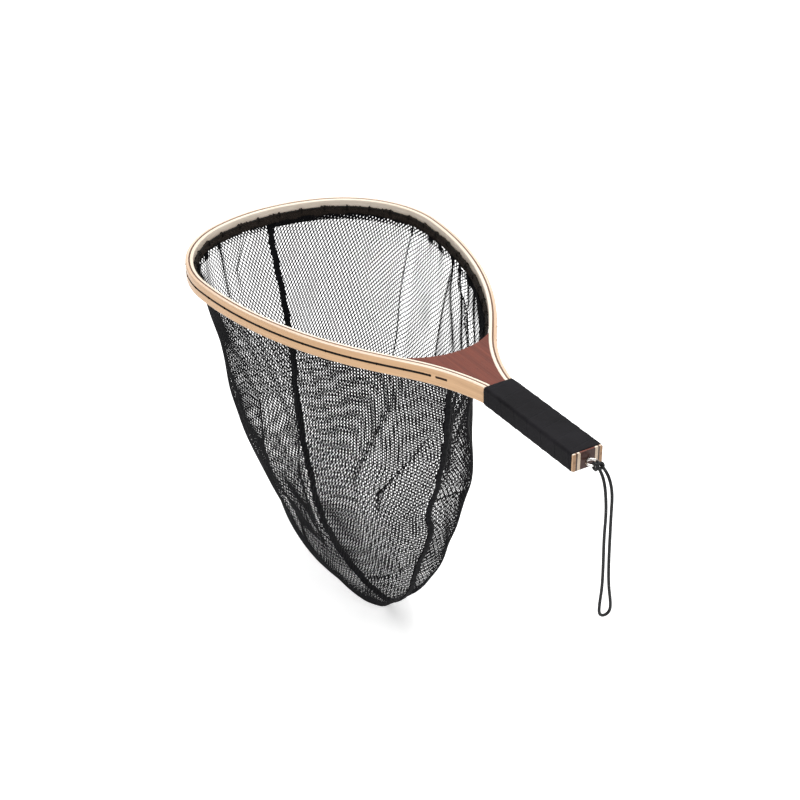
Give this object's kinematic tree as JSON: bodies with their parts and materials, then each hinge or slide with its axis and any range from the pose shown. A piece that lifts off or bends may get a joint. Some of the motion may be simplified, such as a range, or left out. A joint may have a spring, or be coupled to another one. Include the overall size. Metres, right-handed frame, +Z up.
{
  "type": "landing net",
  "caption": "Hand landing net: teardrop hoop of laminated wood with a wedge throat and wrapped grip, a deep laced net bag with seam tapes, and a cord wrist loop on a screw eye.",
  "frame": {"origin": "middle of the wrapped grip, where the hand holds it", "axes": "+X from the hoop's toe to the butt of the handle, +Z up out of the hoop's plane with the net hanging towards -Z, +Y across the hoop"},
  "size_m": [0.6397, 0.2928, 0.385],
  "materials": {
    "pale_wood": "satin lacquer",
    "brown_wood": "satin lacquer",
    "red_wood": "satin lacquer",
    "grip_tape": "matte",
    "plated_steel": "polished",
    "lacing_cord": "matte",
    "hem_fabric": "matte",
    "netting": "matte",
    "seam_tape": "matte",
    "elastic_cord": "matte"
  },
  "bodies": {
    "frame": {"outer_lamination": "pale_wood", "middle_lamination": "brown_wood", "inner_lamination": "pale_wood", "handle_core": "red_wood", "grip_wrap": "grip_tape", "screw_eye": "plated_steel", "groove_cord": "lacing_cord", "head_rope": "lacing_cord", "net_ties": "lacing_cord", "hem_band": "hem_fabric", "left_net_panel": "netting", "right_net_panel": "netting", "toe_seam_tape": "seam_tape", "throat_seam_tape": "seam_tape"},
    "bag_bottom": {"left_net_bottom": "netting", "right_net_bottom": "netting", "bottom_seam_tape": "seam_tape"},
    "lanyard_knot": {"lanyard_hitch": "elastic_cord"},
    "lanyard_cord": {"lanyard_loop": "elastic_cord"}
  },
  "joints": [
    {"name": "bag_collapse", "type": "slide", "parent": "frame", "child": "bag_bottom", "axis": [0, 0, 1], "range_m": [0, 0.2]},
    {"name": "lanyard_swing", "type": "hinge", "parent": "frame", "child": "lanyard_knot", "pos_m": [0.0821, 0, 0], "axis": [0, 1, 0], "range_deg": [-120, 75]},
    {"name": "lanyard_sway", "type": "hinge", "parent": "lanyard_knot", "child": "lanyard_cord", "pos_m": [0.0877, 0, 0], "axis": [1, 0, 0], "range_deg": [-60, 60]}
  ]
}
